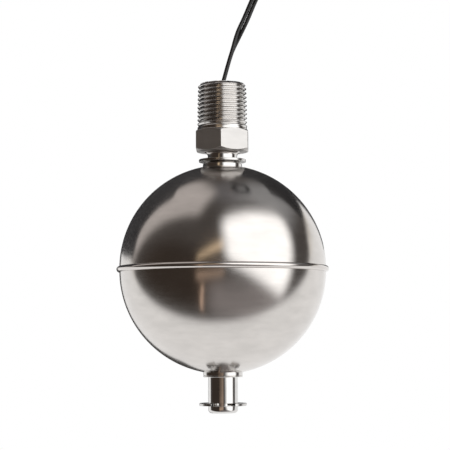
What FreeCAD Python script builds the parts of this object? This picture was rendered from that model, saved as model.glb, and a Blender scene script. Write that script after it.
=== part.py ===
import FreeCAD, Part
import math
import os
import Sketcher
from types import SimpleNamespace
from FreeCAD import Placement, Rotation, Vector

# Float level switch: a threaded steel fitting, a grooved stem with a reed switch in it,
# and a seamed ball float with a ring magnet that slides on the stem between two E-rings.
# The origin is the middle of the hexagon's top face, where the thread begins; +Z is the
# stem's axis, towards the thread's free end and the leads. Millimetres and degrees.

SIZES = {
    # fitting: a half inch taper pipe thread over a 7/8 inch hexagon
    "thread_length": 20.2,
    "thread_dia": 21.5,  # over the crests, at the hexagon
    "thread_straight": 9.5,  # how far up the crests stay at the bar's own size
    "thread_taper": 16,  # one in this many, on the diameter
    "thread_pitch": 1.814,
    "thread_depth": 1.15,
    "thread_over": 0.1,  # how far the groove's cutter stands out of the crests
    "thread_lead": 3.15,  # from the free end to the middle of the first groove
    "thread_point": 0.7,  # chamfer at the free end
    "hex_flats": 22.225,
    "hex_height": 9.5,
    "hex_drop": 1.1,  # how far each corner is cut back at both ends
    "hex_turn": -2.3,  # turn of the hexagon about the stem
    "cup_dia": 11.0,  # bore that the potting fills
    "socket_depth": 14.0,  # how far the stem reaches into the fitting
    # stem
    "stem_dia": 12.7,
    "stem_bore": 7.9,
    "stem_edge": 1.5,  # rounding of the foot
    "weld_leg": 1.3,
    "plug_length": 5.0,
    "plug_recess": 0.3,
    "press_fit": 0.03,  # radial room between pieces that are pressed or welded together
    # E-rings for a half inch shaft
    "ring_dia": 20.32,
    "ring_thick": 1.07,
    "groove_dia": 10.06,
    "groove_width": 1.17,
    "ring_relief_dia": 14.4,  # inside the band, between the prongs
    "ring_prong": 3.4,  # width of a prong
    "ring_neck": 9.1,  # opening between the side prongs
    "ring_mouth": 10.5,  # opening at the rim
    "ring_prong_start": 3.56,  # where each prong starts, well inside the seat
    "ring_prong_behind": 0.43,  # how far behind the middle the side prongs start
    "ring_prong_ahead": 3.83,  # and how far they reach towards the opening
    "upper_ring_depth": 13.4,
    "foot_past_ring": 3.7,  # from the lower ring to the stem's foot
    # float
    "float_dia": 88.9,
    "float_wall": 0.9,
    "lip_proud": 0.6,
    "lip_thick": 0.45,  # each bowl is straight as far as this, and its ball starts there
    "seam_proud": 1.25,
    "seam_height": 2.6,
    "hub_dia": 16.9,
    "hub_proud": 1.3,  # past the ball's pole
    "hub_length": 6.0,
    "hub_edge": 0.8,  # chamfer of the upper hub
    "joint_edge": 0.18,  # small chamfers that leave the joint line of the lower hub
    "tube_wall": 0.75,
    "tube_flange": 0.6,
    "running_gap": 0.35,  # between the stem and the float's tube
    "top_gap": 0.2,  # under the upper ring when the float is up
    "float_travel": 11.1,  # from there down to the lower ring
    # magnet in the float
    "magnet_dia": 31.0,
    "magnet_height": 8.0,
    "magnet_edge": 0.5,
    "magnet_gap": 0.3,  # all round the magnet
    "retainer_dia": 25.0,
    "retainer_thick": 0.8,
    "retainer_collar": 3.2,
    # reed switch in the stem
    "board_width": 6.0,
    "board_thick": 0.8,
    "board_length": 46.0,
    "board_top": -0.5,  # height of its component side, from the stem's axis
    "board_foot_depth": 89.0,
    "sleeve_dia": 7.3,
    "sleeve_wall": 0.3,
    "spacer_wall": 1.4,
    "reed_depth": 66.0,  # middle of the contacts
    "glass_dia": 2.2,
    "glass_wall": 0.3,
    "glass_end": 1.5,
    "glass_length": 14.0,
    "blade_width": 0.8,
    "blade_thick": 0.2,
    "contact_gap": 0.1,
    "contact_overlap": 1.2,
    "solder_reach": 14.0,  # from the contacts to each solder joint
    "solder_dia": 2.4,
    "solder_tip_dia": 1.5,
    "solder_height": 1.6,
    # leads
    "lead_dia": 1.7,
    "lead_pitch": 1.76,  # between the middles of two turns that touch
    "exit_apart": 1.9,  # between the middles of the two exits
    "exit_off": 0.1,  # of both exits, to one side of the stem's axis
    "lead_side": 2.1,  # of each inner lead, beside the glass
    "inner_lead_straight": 8.0,  # above the board's top, where the inner leads lean in
    "inner_lead_joined": 24.0,  # and where they are as close as the exits
    "potting_recess": 4.0,  # below the fitting's free end
    "potting_depth": 10.0,
    "core_dia": 0.9,
    "core_length": 6.0,
    # coil of the two leads, wound together
    "coil_across": 29.4,
    "coil_front": -15.0,
    "coil_height": 64.94,
    "coil_radius": 15.0,  # of the outermost turn
    "coil_layers": 4,
    "coil_levels": 4,
    "coil_slack": 0.12,
    "tie_gap": 0.15,
    "tie_thick": 0.8,
    "tie_width": 2.6,
    "tie_head": 3.2,
    "tie_head_depth": 1.6,
}

THREAD_GROOVES = 9

# The free leads' routes after the exit, chosen by hand: both rise side by side, lean over
# and lie level where the coil takes them.
LEAD_A_ROUTE = [
    (0.1, -0.95, 19.6),
    (1.5, -0.94, 24.9),
    (3.25, -0.93, 31.0),
    (4.6, -0.93, 35.3),
    (5.7, -0.72, 39.6),
    (7.15, -0.29, 44.0),
    (9.3, -0.05, 48.5),
    (11.15, 0.0, 52.8),
    (13.1, 0.0, 57.5),
    (15.4, 0.0, 62.0),
    (19.3, 0.0, 65.7),
    (24.3, 0.0, 67.6),
    (29.4, 0.0, 67.6),
]
LEAD_B_ROUTE = [
    (0.1, 0.95, 19.6),
    (1.5, 0.94, 24.8),
    (3.25, 0.93, 31.1),
    (4.65, 0.93, 35.3),
    (6.85, 0.72, 39.6),
    (9.05, 0.29, 44.0),
    (11.2, 0.05, 48.4),
    (13.0, 0.0, 52.8),
    (14.75, 0.0, 56.9),
    (16.7, 0.0, 60.8),
    (20.1, 0.0, 64.1),
    (24.7, 0.0, 65.8),
    (29.4, 0.0, 65.8),
]
TAIL_A_ROUTE = [
    (29.4, -24.72, 67.6),
    (25.2, -24.9, 68.8),
    (20.8, -25.5, 71.2),
    (16.2, -26.2, 72.0),
]
TAIL_B_ROUTE = [
    (29.4, -24.72, 65.8),
    (25.3, -24.6, 66.8),
    (20.9, -24.1, 69.2),
    (16.3, -23.3, 70.0),
]


class Size:
    """A length or ratio that knows its value and the expression that the sheet gives it by."""

    def __init__(self, value, text):
        self.value = value
        self.text = text

    def __add__(self, other):
        return Size(self.value + number(other), f"({self.text} + {words(other)})")

    def __sub__(self, other):
        return Size(self.value - number(other), f"({self.text} - {words(other)})")

    def __mul__(self, other):
        return Size(self.value * number(other), f"({self.text} * {words(other)})")

    def __truediv__(self, other):
        return Size(self.value / number(other), f"({self.text} / {words(other)})")

    def __neg__(self):
        return Size(-self.value, f"(0 - {self.text})")


def number(size):
    return size.value if isinstance(size, Size) else float(size)


def words(size):
    return size.text if isinstance(size, Size) else repr(float(size))


def square_root(size):
    return Size(math.sqrt(size.value), f"sqrt({size.text})")


def leg(slant, other):
    """The other leg of a right triangle, such as a ball's height at a distance from its axis."""
    return square_root(slant * slant - other * other)


def make_sheet(doc):
    sheet = doc.addObject("Spreadsheet::Sheet", "Sizes")
    for row, (alias, value) in enumerate(SIZES.items(), start=1):
        sheet.set(f"A{row}", alias.replace("_", " "))
        sheet.set(f"B{row}", str(value))
        sheet.setAlias(f"B{row}", alias)
    doc.recompute()
    sizes = {alias: Size(float(sheet.get(alias)), f"Sizes.{alias}") for alias in SIZES}
    return SimpleNamespace(**sizes)


doc = FreeCAD.newDocument("FloatLevelSwitch")
s = make_sheet(doc)

# What several sub-parts share.
stem_radius = s.stem_dia / 2
bore_radius = s.stem_bore / 2
ball_radius = s.float_dia / 2
hub_radius = s.hub_dia / 2
slide_radius = stem_radius + s.running_gap
tube_radius = slide_radius + s.tube_wall
hub_end = ball_radius + s.lip_thick + s.hub_proud
float_depth = s.upper_ring_depth + s.ring_thick / 2 + s.top_gap + hub_end
lower_ring_depth = float_depth + hub_end + s.float_travel + s.ring_thick / 2
stem_reach = lower_ring_depth + s.foot_past_ring
socket_top = s.socket_depth - s.hex_height
lead_radius = s.lead_dia / 2
potting_top = s.thread_length - s.potting_recess
glass_across = s.board_top + s.glass_dia / 2 + s.press_fit
board_top_depth = s.board_foot_depth - s.board_length
sleeve_radius = s.sleeve_dia / 2


# Building blocks


def bind(obj, **sizes):
    """Binds properties to the sheet. Two underscores in a name stand for a dot."""
    for path, size in sizes.items():
        path = path.replace("__", ".")
        if isinstance(size, Size):
            obj.setExpression(path, size.text)
        else:
            setattr(obj, path, size)
    return obj


def put(obj, across=None, along=None, up=None):
    """Sets a sub-part's place in the whole, bound to the sheet."""
    for axis, size in (("x", across), ("y", along), ("z", up)):
        if size is not None:
            obj.setExpression(f"Placement.Base.{axis}", words(size))
    return obj


def new_body(name):
    body = doc.addObject("PartDesign::Body", name)
    body.Label = name
    return body


def new_sketch(body, name, plane):
    sketch = body.newObject("Sketcher::SketchObject", name)
    origin = next(f for f in body.Origin.OriginFeatures if f.Role == plane)
    sketch.AttachmentSupport = [(origin, "")]
    sketch.MapMode = "FlatFace"
    return sketch


def hold(sketch, edge, end, x, y):
    """Holds a point of the sketch at its distances from the sketch's origin."""
    for kind, axis, size in (("DistanceX", -2, x), ("DistanceY", -1, y)):
        if number(size) == 0:
            sketch.addConstraint(Sketcher.Constraint("PointOnObject", edge, end, axis))
            continue
        rule = Sketcher.Constraint(kind, -1, 1, edge, end, number(size))
        sketch.setExpression(f"Constraints[{sketch.addConstraint(rule)}]", words(size))


def set_radius(sketch, edge, radius):
    rule = Sketcher.Constraint("Radius", edge, number(radius))
    sketch.setExpression(f"Constraints[{sketch.addConstraint(rule)}]", words(radius))


def add_edge(sketch, start, corner):
    """Adds the edge that ends at a corner, and says which of its ends is which."""
    end = Vector(number(corner[0]), number(corner[1]), 0)
    if len(corner) == 2:
        return sketch.addGeometry(Part.LineSegment(start, end), False), 1, 2
    middle = Vector(number(corner[2]), number(corner[3]), 0)
    turns_left = (start - middle).cross(end - middle).z > 0
    first, last = (start, end) if turns_left else (end, start)
    angles = [math.atan2((p - middle).y, (p - middle).x) for p in (first, last)]
    circle = Part.Circle(middle, Vector(0, 0, 1), number(corner[4]))
    edge = sketch.addGeometry(Part.ArcOfCircle(circle, *angles), False)
    set_radius(sketch, edge, corner[4])
    return (edge, 1, 2) if turns_left else (edge, 2, 1)


def draw(sketch, outline):
    """Draws a closed outline of corners (x, y), or (x, y, middle x, middle y, radius) where
    an arc ends at the corner."""
    points = [Vector(number(x), number(y), 0) for x, y, *_ in outline]
    edges = [add_edge(sketch, points[i - 1], outline[i]) for i in range(len(outline))]
    for i, (edge, _, end) in enumerate(edges):
        following, start, _ = edges[(i + 1) % len(edges)]
        sketch.addConstraint(Sketcher.Constraint("Coincident", edge, end, following, start))
        hold(sketch, edge, end, *outline[i][:2])
    return sketch


def draw_circle(sketch, x, y, radius):
    middle = Vector(number(x), number(y), 0)
    edge = sketch.addGeometry(Part.Circle(middle, Vector(0, 0, 1), number(radius)), False)
    hold(sketch, edge, 3, x, y)
    set_radius(sketch, edge, radius)
    return sketch


def turn(body, name, *outlines, kind="PartDesign::Revolution"):
    """Turns outlines of (radius, height) about the body's own axis, adding or cutting."""
    sketch = new_sketch(body, f"{name}_outline", "XZ_Plane")
    for outline in outlines:
        draw(sketch, outline)
    feature = body.newObject(kind, name)
    feature.Profile = sketch
    feature.ReferenceAxis = (sketch, ["V_Axis"])
    feature.Angle = 360
    return feature


def turned(name, outline):
    body = new_body(name)
    turn(body, f"{name}_turned", outline)
    return body


def pad(body, sketch, length):
    feature = body.newObject("PartDesign::Pad", f"{sketch.Name}_pad")
    feature.Profile = sketch
    return bind(feature, Length=length)


def pocket(body, sketch):
    """Cuts right through the body, above the sketch."""
    feature = body.newObject("PartDesign::Pocket", f"{sketch.Name}_cut")
    feature.Profile = sketch
    feature.Reversed = True
    feature.Type = "ThroughAll"
    return feature


def ring_outline(inner, outer, low, high, edge=None):
    """A rectangle beside the axis, with chamfered corners where an edge is given."""
    if edge is None:
        return [(inner, low), (outer, low), (outer, high), (inner, high)]
    return [
        (inner + edge, low),
        (outer - edge, low),
        (outer, low + edge),
        (outer, high - edge),
        (outer - edge, high),
        (inner + edge, high),
        (inner, high - edge),
        (inner, low + edge),
    ]


# Fitting and stem


def thread_groove(height, crest):
    """One groove of the thread, with 60 degree flanks."""
    bottom = crest - s.thread_depth
    past = s.thread_depth + s.thread_over
    half = past * math.tan(math.radians(30))
    return [(bottom, height), (bottom + past, height - half), (bottom + past, height + half)]


def make_fitting():
    body = new_body("fitting")
    corner = s.hex_flats / math.sqrt(3)
    half = s.hex_flats / 2
    hexagon = new_sketch(body, "hexagon", "XY_Plane")
    sides = [(0, -corner), (half, -corner / 2), (half, corner / 2)]
    draw(hexagon, sides + [(0, corner), (-half, corner / 2), (-half, -corner / 2)])
    pad(body, hexagon, s.hex_height).Reversed = True
    root = s.thread_dia / 2
    taper = Size(0.5, "0.5") / s.thread_taper
    level = s.thread_length - s.thread_point
    tip = root - (level - s.thread_straight) * taper
    thread = [(0, 0), (root, 0), (root, s.thread_straight), (tip, level)]
    thread += [(tip - s.thread_point, s.thread_length), (0, s.thread_length)]
    turn(body, "thread_blank", thread)
    grooves = []
    for i in range(THREAD_GROOVES):
        height = s.thread_length - s.thread_lead - s.thread_pitch * i
        crest = root
        if number(height) > number(s.thread_straight):
            crest = root - (height - s.thread_straight) * taper
        grooves.append(thread_groove(height, crest))
    turn(body, "thread_grooves", *grooves, kind="PartDesign::Groove")
    slope = math.tan(math.radians(30))
    first = corner - s.hex_drop / slope
    far = corner + 1
    low = -s.hex_height
    cut = (far - first) * slope
    top = [(first, 0), (far, -cut), (far, Size(1, "1")), (first, Size(1, "1"))]
    turn(body, "top_chamfer", top, kind="PartDesign::Groove")
    foot = [(first, low), (far, low + cut), (far, low - 1), (first, low - 1)]
    turn(body, "foot_chamfer", foot, kind="PartDesign::Groove")
    cup = s.cup_dia / 2
    socket = stem_radius + s.press_fit
    bore = [(0, s.thread_length + 1), (cup, s.thread_length + 1), (cup, socket_top)]
    bore += [(socket, socket_top), (socket, low - 1), (0, low - 1)]
    turn(body, "bore", bore, kind="PartDesign::Groove")
    bind(body, Placement__Rotation__Angle=s.hex_turn)
    return body


def ring_groove(body, name, depth):
    middle = stem_reach - depth
    half = s.groove_width / 2
    outline = ring_outline(s.groove_dia / 2, stem_radius + 1, middle - half, middle + half)
    turn(body, name, outline, kind="PartDesign::Groove")


def make_stem():
    body = new_body("stem_tube")
    edge = s.stem_edge
    top = stem_reach + socket_top
    outline = [(bore_radius, 0), (stem_radius - edge, 0)]
    outline += [(stem_radius, edge, stem_radius - edge, edge, edge)]
    outline += [(stem_radius, top), (bore_radius, top)]
    turn(body, "stem_turned", outline)
    ring_groove(body, "upper_groove", s.upper_ring_depth)
    ring_groove(body, "lower_groove", lower_ring_depth)
    return put(body, up=-stem_reach)


def make_stem_end_plug():
    radius = bore_radius - s.press_fit
    top = s.plug_recess + s.plug_length
    body = turned("stem_end_plug", [(0, s.plug_recess), (radius, s.plug_recess), (radius, top), (0, top)])
    return put(body, up=-stem_reach)


def make_stem_weld():
    inner = stem_radius + s.press_fit
    body = turned("stem_weld", [(inner, -s.weld_leg), (inner + s.weld_leg, 0), (inner, 0)])
    return put(body, up=-s.hex_height)


def rectangle(left, low, right, high):
    return [(left, low), (right, low), (right, high), (left, high)]


def make_retaining_ring(name, depth, turned_by):
    """An E-ring: a band with three prongs that reach the groove, open on one side."""
    body = new_body(name)
    outer = s.ring_dia / 2
    relief = s.ring_relief_dia / 2
    seat = s.groove_dia / 2 + s.press_fit
    half = s.ring_prong / 2
    band = new_sketch(body, f"{name}_band", "XY_Plane")
    draw_circle(draw_circle(band, 0, 0, outer), 0, 0, relief)
    pad(body, band, s.ring_thick)
    inside = s.ring_prong_start
    past = (relief + outer) / 2
    low = -s.ring_prong_ahead
    high = -s.ring_prong_behind
    prongs = new_sketch(body, f"{name}_prongs", "XY_Plane")
    draw(prongs, rectangle(-half, inside, half, past))
    draw(prongs, rectangle(inside, low, past, high))
    draw(prongs, rectangle(-past, low, -inside, high))
    pad(body, prongs, s.ring_thick)
    pocket(body, draw_circle(new_sketch(body, f"{name}_seat", "XY_Plane"), 0, 0, seat))
    mouth = new_sketch(body, f"{name}_mouth", "XY_Plane")
    neck = s.ring_neck / 2
    flare = s.ring_mouth / 2
    draw(mouth, [(-flare, -outer), (-flare, -outer - 1), (flare, -outer - 1)]
         + [(flare, -outer), (neck, 0), (-neck, 0)])
    pocket(body, mouth)
    body.Placement.Rotation = Rotation(Vector(0, 0, 1), turned_by)
    return put(body, up=-(depth + s.ring_thick / 2))


# Float


def make_shell(name, side):
    """Half of the ball, with an out-turned lip at the seam and a hole for the hub."""
    inner = ball_radius - s.float_wall
    hole = hub_radius + s.press_fit
    lip = ball_radius + s.lip_proud
    middle = s.lip_thick
    outline = [
        (ball_radius, middle * side, 0, middle * side, ball_radius),
        (lip, middle * side),
        (lip, 0),
        (inner, 0),
        (inner, middle * side),
        (hole, (middle + leg(inner, hole)) * side, 0, middle * side, inner),
        (hole, (middle + leg(ball_radius, hole)) * side),
    ]
    return put(turned(name, outline), up=-float_depth)


def make_seam_weld():
    """The bead that covers both lips."""
    inner = ball_radius + s.press_fit
    lip = ball_radius + s.lip_proud + s.press_fit
    over = s.lip_thick + s.press_fit
    half = s.seam_height / 2
    rise = s.seam_proud - s.press_fit
    radius = (rise * rise + half * half) / 2 / rise
    middle = ball_radius + s.seam_proud - radius
    outline = [
        (inner, -half),
        (inner, half, middle, 0, radius),
        (inner, over),
        (lip, over),
        (lip, -over),
        (inner, -over),
    ]
    return put(turned("float_seam_weld", outline), up=-float_depth)


def make_hub(name, side, end, edge):
    inner = tube_radius + s.press_fit
    foot = (hub_end - s.hub_length) * side
    outline = [
        (inner, foot),
        (hub_radius, foot),
        (hub_radius, (end - edge) * side),
        (hub_radius - edge, end * side),
        (inner, end * side),
    ]
    return put(turned(name, outline), up=-float_depth)


def make_float_tube():
    """The tube that runs on the stem, with a flange under the lower hub."""
    flange = s.tube_flange - hub_end
    outline = [
        (slide_radius, -hub_end),
        (hub_radius, -hub_end),
        (hub_radius, flange - s.joint_edge),
        (hub_radius - s.joint_edge, flange),
        (tube_radius, flange),
        (tube_radius, hub_end),
        (slide_radius, hub_end),
    ]
    return put(turned("float_centre_tube", outline), up=-float_depth)


def make_magnet():
    half = s.magnet_height / 2
    inner = tube_radius + s.magnet_gap
    outline = ring_outline(inner, s.magnet_dia / 2, -half, half, s.magnet_edge)
    return put(turned("ring_magnet", outline), up=-float_depth)


def make_retainer(name, side):
    """A pressed washer with a collar that grips the float's tube."""
    inner = tube_radius + s.press_fit
    collar = inner + s.retainer_thick
    near = s.magnet_height / 2 + s.magnet_gap
    outline = [
        (inner, near * side),
        (s.retainer_dia / 2, near * side),
        (s.retainer_dia / 2, (near + s.retainer_thick) * side),
        (collar, (near + s.retainer_thick) * side),
        (collar, (near + s.retainer_collar) * side),
        (inner, (near + s.retainer_collar) * side),
    ]
    return put(turned(name, outline), up=-float_depth)


# Reed switch


def box(name, across, along, up):
    """A block between pairs of faces, each pair given as (low, high)."""
    block = doc.addObject("Part::Box", name)
    block.Label = name
    bind(block, Length=across[1] - across[0], Width=along[1] - along[0])
    bind(block, Height=up[1] - up[0])
    return put(block, across[0], along[0], up[0])


def cut(name, base, tool):
    result = doc.addObject("Part::Cut", name)
    result.Label = name
    result.Base = base
    result.Tool = tool
    return result


def make_board():
    half = s.board_width / 2
    return box("reed_board", (-half, half), (s.board_top - s.board_thick, s.board_top),
               (-s.board_foot_depth, -board_top_depth))


def make_blade(name, side):
    """A flat reed, from inside the glass to its solder joint. The two lie a contact gap apart."""
    half = s.blade_width / 2
    near = s.contact_gap / 2
    far = near + s.blade_thick
    along = (near, far) if side > 0 else (-far, -near)
    inside = -(s.reed_depth) - s.contact_overlap / 2 * side
    outside = s.solder_reach * side - s.reed_depth
    up = (inside, outside) if side > 0 else (outside, inside)
    return box(name, (-half, half), [glass_across + place for place in along], up)


def make_glass(upper_blade, lower_blade):
    """The sealed capsule, closed round both blades."""
    half = s.glass_length / 2
    outer = s.glass_dia / 2
    inner = outer - s.glass_wall
    room = half - s.glass_end
    tube = turned("glass_blank", [(0, -half), (outer, -half), (outer, half), (0, half)])
    hollow = [(0, -room), (inner, -room), (inner, room), (0, room)]
    turn(tube, "glass_hollow", hollow, kind="PartDesign::Groove")
    put(tube, 0, glass_across, -s.reed_depth)
    return cut("reed_glass", cut("glass_with_slot", tube, upper_blade), lower_blade)


def make_solder_joint(name, side, blade):
    """A cone of solder on the board, round the blade's end."""
    cone = doc.addObject("Part::Cone", f"{name}_cone")
    bind(cone, Radius1=s.solder_dia / 2, Radius2=s.solder_tip_dia / 2)
    bind(cone, Height=s.solder_height)
    cone.Placement.Rotation = Rotation(Vector(1, 0, 0), -90)
    put(cone, 0, s.board_top, s.solder_reach * side - s.reed_depth)
    return cut(name, cone, blade)


def make_sleeve():
    foot = -s.board_foot_depth
    inner = sleeve_radius - s.sleeve_wall
    return put(turned("insulating_sleeve", ring_outline(inner, sleeve_radius, 0, s.board_length)), up=foot)


def make_spacer():
    """The tube that stands on the end plug and sets the switch's height."""
    foot = s.plug_recess + s.plug_length
    top = stem_reach - s.board_foot_depth
    outline = ring_outline(sleeve_radius - s.spacer_wall, sleeve_radius, foot, top)
    return put(turned("board_spacer", outline), up=-stem_reach)


def make_potting():
    """Resin that fills the fitting's cup round both leads."""
    body = new_body("potting")
    disc = new_sketch(body, "potting_disc", "XY_Plane")
    draw_circle(disc, 0, 0, s.cup_dia / 2 - s.press_fit)
    for side in (-1, 1):
        draw_circle(disc, s.exit_off, s.exit_apart / 2 * side, lead_radius + s.press_fit / 2)
    pad(body, disc, s.potting_depth)
    return put(body, up=potting_top - s.potting_depth)


# Leads


def rounded_path(points):
    """Straight runs joined by tangent arcs, each as large as its two runs allow."""
    edges = []
    radii = []
    start = points[0]
    for before, corner, after in zip(points, points[1:], points[2:]):
        back = before - corner
        ahead = after - corner
        half_turn = (math.pi - back.getAngle(ahead)) / 2
        reach = 0.45 * min(back.Length, ahead.Length)
        back.normalize()
        ahead.normalize()
        radius = reach / math.tan(half_turn)
        inward = (back + ahead).normalize()
        middle = corner + inward * (radius / math.cos(half_turn) - radius)
        first = corner + back * reach
        last = corner + ahead * reach
        edges.append(Part.LineSegment(start, first).toShape())
        edges.append(Part.Arc(first, middle, last).toShape())
        radii.append(radius)
        start = last
    edges.append(Part.LineSegment(start, points[-1]).toShape())
    return Part.Wire(edges), radii


def make_tube(name, route, diameter):
    """A round lead along a route, checked against its section times its length."""
    path, radii = rounded_path([Vector(*point) for point in route])
    start = path.Edges[0].firstVertex().Point
    heading = path.Edges[0].tangentAt(path.Edges[0].FirstParameter)
    ring = Part.Wire(Part.makeCircle(number(diameter) / 2, start, heading))
    shape = path.makePipeShell([ring], True, False)
    expected = math.pi * number(diameter) ** 2 / 4 * path.Length
    if abs(shape.Volume / expected - 1) > 0.01:
        raise ValueError(f"{name}: {shape.Volume:.1f} cubic mm, and not {expected:.1f}")
    least = f", least arc radius {min(radii):.1f} mm" if radii else ""
    print(f"{name}: {path.Length:.1f} mm long{least}")
    tube = doc.addObject("Part::Feature", name)
    tube.Label = name
    tube.Shape = shape
    tube.Placement = Placement()
    return tube


def make_inner_lead(name, side):
    """From beside its solder joint up through the stem and the potting."""
    across = number(s.lead_side) * side
    along = number(s.board_top + lead_radius + s.press_fit)
    reach = s.solder_reach * side * -1 - s.reed_depth + s.solder_dia / 2 + s.press_fit
    low = number(reach)
    exit_along = number(s.exit_apart) / 2 * side
    rise = -number(board_top_depth)
    route = [
        (across, along, low),
        (across, along, rise + number(s.inner_lead_straight)),
        (number(s.exit_off), exit_along, rise + number(s.inner_lead_joined)),
        (number(s.exit_off), exit_along, number(potting_top)),
    ]
    return make_tube(name, route, s.lead_dia)


def make_free_lead(name, side, route):
    exit_point = (number(s.exit_off), number(s.exit_apart) / 2 * side, number(potting_top))
    return make_tube(name, [exit_point] + route, s.lead_dia)


def make_lead_end(name, route):
    """The stripped end of a lead, straight on from its insulation."""
    last = Vector(*route[-1])
    heading = (last - Vector(*route[-2])).normalize()
    core = doc.addObject("Part::Cylinder", name)
    core.Label = name
    bind(core, Radius=s.core_dia / 2, Height=s.core_length)
    core.Placement = Placement(last, Rotation(Vector(0, 0, 1), heading))
    return core


def make_coil():
    """The outer shape of both leads' turns."""
    slack = lead_radius + s.coil_slack
    inner = s.coil_radius - s.lead_pitch * (s.coil_layers - 1) - slack
    half = s.lead_pitch * (s.coil_levels - 1) / 2 + slack
    outline = ring_outline(inner, s.coil_radius + slack, -half, half, lead_radius / 2)
    return put(turned("lead_coil", outline), s.coil_across, s.coil_front, s.coil_height)


def make_tie():
    """A strap round the coil's section, with its head outside."""
    slack = lead_radius + s.coil_slack + s.tie_gap
    outer = -(s.coil_radius + slack)
    inner = -(s.coil_radius - s.lead_pitch * (s.coil_layers - 1) - slack)
    half = s.lead_pitch * (s.coil_levels - 1) / 2 + slack
    wide = s.tie_width / 2
    grown = half + s.tie_thick
    strap = box("tie_strap", (outer - s.tie_thick, inner + s.tie_thick), (-wide, wide), (-grown, grown))
    room = box("tie_room", (outer, inner), (-wide * 2, wide * 2), (-half, half))
    lug = s.tie_head / 2
    across = (outer - s.tie_thick / 2 - s.tie_head_depth, outer - s.tie_thick / 2)
    head = box("tie_head_block", across, (-lug, lug), (-lug, lug))
    loop = doc.addObject("Part::Fuse", "tie_whole")
    loop.Base = strap
    loop.Tool = head
    return put(cut("coil_tie", loop, room), s.coil_across, s.coil_front, s.coil_height)


def make_all():
    upper_blade = make_blade("upper_reed_blade", 1)
    lower_blade = make_blade("lower_reed_blade", -1)
    return [
        make_fitting(),
        make_stem(),
        make_stem_end_plug(),
        make_stem_weld(),
        make_retaining_ring("upper_retaining_ring", s.upper_ring_depth, 180),
        make_retaining_ring("lower_retaining_ring", lower_ring_depth, 0),
        make_shell("upper_float_shell", 1),
        make_shell("lower_float_shell", -1),
        make_seam_weld(),
        make_hub("upper_hub", 1, hub_end, s.hub_edge),
        make_hub("lower_hub", -1, hub_end - s.tube_flange, s.joint_edge),
        make_float_tube(),
        make_magnet(),
        make_retainer("upper_magnet_retainer", 1),
        make_retainer("lower_magnet_retainer", -1),
        make_board(),
        upper_blade,
        lower_blade,
        make_glass(upper_blade, lower_blade),
        make_solder_joint("upper_solder_joint", 1, upper_blade),
        make_solder_joint("lower_solder_joint", -1, lower_blade),
        make_sleeve(),
        make_spacer(),
        make_potting(),
        make_inner_lead("inner_lead_a", -1),
        make_inner_lead("inner_lead_b", 1),
        make_free_lead("lead_a", -1, LEAD_A_ROUTE),
        make_free_lead("lead_b", 1, LEAD_B_ROUTE),
        make_coil(),
        make_tie(),
        make_tube("lead_tail_a", TAIL_A_ROUTE, s.lead_dia),
        make_tube("lead_tail_b", TAIL_B_ROUTE, s.lead_dia),
        make_lead_end("lead_end_a", TAIL_A_ROUTE),
        make_lead_end("lead_end_b", TAIL_B_ROUTE),
    ]


def check(parts):
    """Stops before anything is written if a feature failed or a shape isn't sound."""
    failed = [o.Name for o in doc.Objects if {"Invalid", "Error"} & set(o.State)]
    if failed:
        raise ValueError(f"these failed: {failed}")
    for part in parts:
        if part.Shape.isNull() or not part.Shape.isValid() or part.Shape.Volume <= 0:
            raise ValueError(f"{part.Label} isn't a sound solid")


parts = make_all()
doc.recompute()
check(parts)
os.makedirs("parts", exist_ok=True)
for part in parts:
    part.Shape.exportStep(f"parts/{part.Label}.step")
    print(f"{part.Label}: {part.Shape.Volume:.1f} cubic mm, {len(part.Shape.Solids)} solid")
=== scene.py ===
import math

import bpy
from mathutils import Matrix, Vector


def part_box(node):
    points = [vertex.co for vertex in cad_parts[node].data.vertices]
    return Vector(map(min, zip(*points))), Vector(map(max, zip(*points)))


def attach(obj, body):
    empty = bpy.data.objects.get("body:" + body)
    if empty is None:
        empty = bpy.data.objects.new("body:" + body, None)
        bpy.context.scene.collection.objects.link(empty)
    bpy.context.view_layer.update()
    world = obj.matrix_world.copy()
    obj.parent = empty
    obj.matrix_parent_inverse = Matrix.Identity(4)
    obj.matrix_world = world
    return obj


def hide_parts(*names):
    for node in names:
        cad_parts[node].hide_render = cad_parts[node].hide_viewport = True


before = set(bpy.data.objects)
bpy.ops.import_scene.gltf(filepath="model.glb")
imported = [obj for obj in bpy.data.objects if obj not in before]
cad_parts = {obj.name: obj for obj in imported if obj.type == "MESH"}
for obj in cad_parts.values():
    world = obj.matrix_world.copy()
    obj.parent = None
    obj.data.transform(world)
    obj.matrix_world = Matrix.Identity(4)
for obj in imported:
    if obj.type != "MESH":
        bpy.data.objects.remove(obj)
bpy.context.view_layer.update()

# A float level switch. The origin is the middle of the hexagon's top face, +Z runs up the
# stem to the thread's free end and the leads, and -Y is the front. Sizes are millimetres
# here and become metres where a piece is made.

MM = 0.001

# Sizes of the turned and threaded pieces
THREAD_LENGTH = 20.2
THREAD_RADIUS = 10.75  # over the crests, below the taper
THREAD_STRAIGHT = 9.5  # how far up the crests stay level
THREAD_TAPER = 1 / 32  # on the radius
THREAD_PITCH = 1.814
THREAD_START = -2.94  # a groove's middle on the +X side
THREAD_DEPTH = 1.15
THREAD_RUNOUT = 4.2  # where the grooves reach their full depth
THREAD_TURNS = 14
POINT_RADIUS = 9.35  # of the fitting's free end
POINT_SLOPE = 1.15  # of the chamfer behind it, on the radius
HEX_FLATS = 22.225
HEX_HEIGHT = 9.5
HEX_DROP = 1.1
HEX_TURN = -2.3
CUP_RADIUS = 5.5
SOCKET_TOP = 4.5
PRESS_GAP = 0.03  # round what is pressed or welded into a bore
STEM_RADIUS = 6.35
STEM_BORE = 3.95
STEM_FOOT = -121.87
STEM_EDGE = 1.5
GROOVE_RADIUS = 5.03
GROOVE_HALF = 0.585
UPPER_RING = -13.4
LOWER_RING = -118.17
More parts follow.
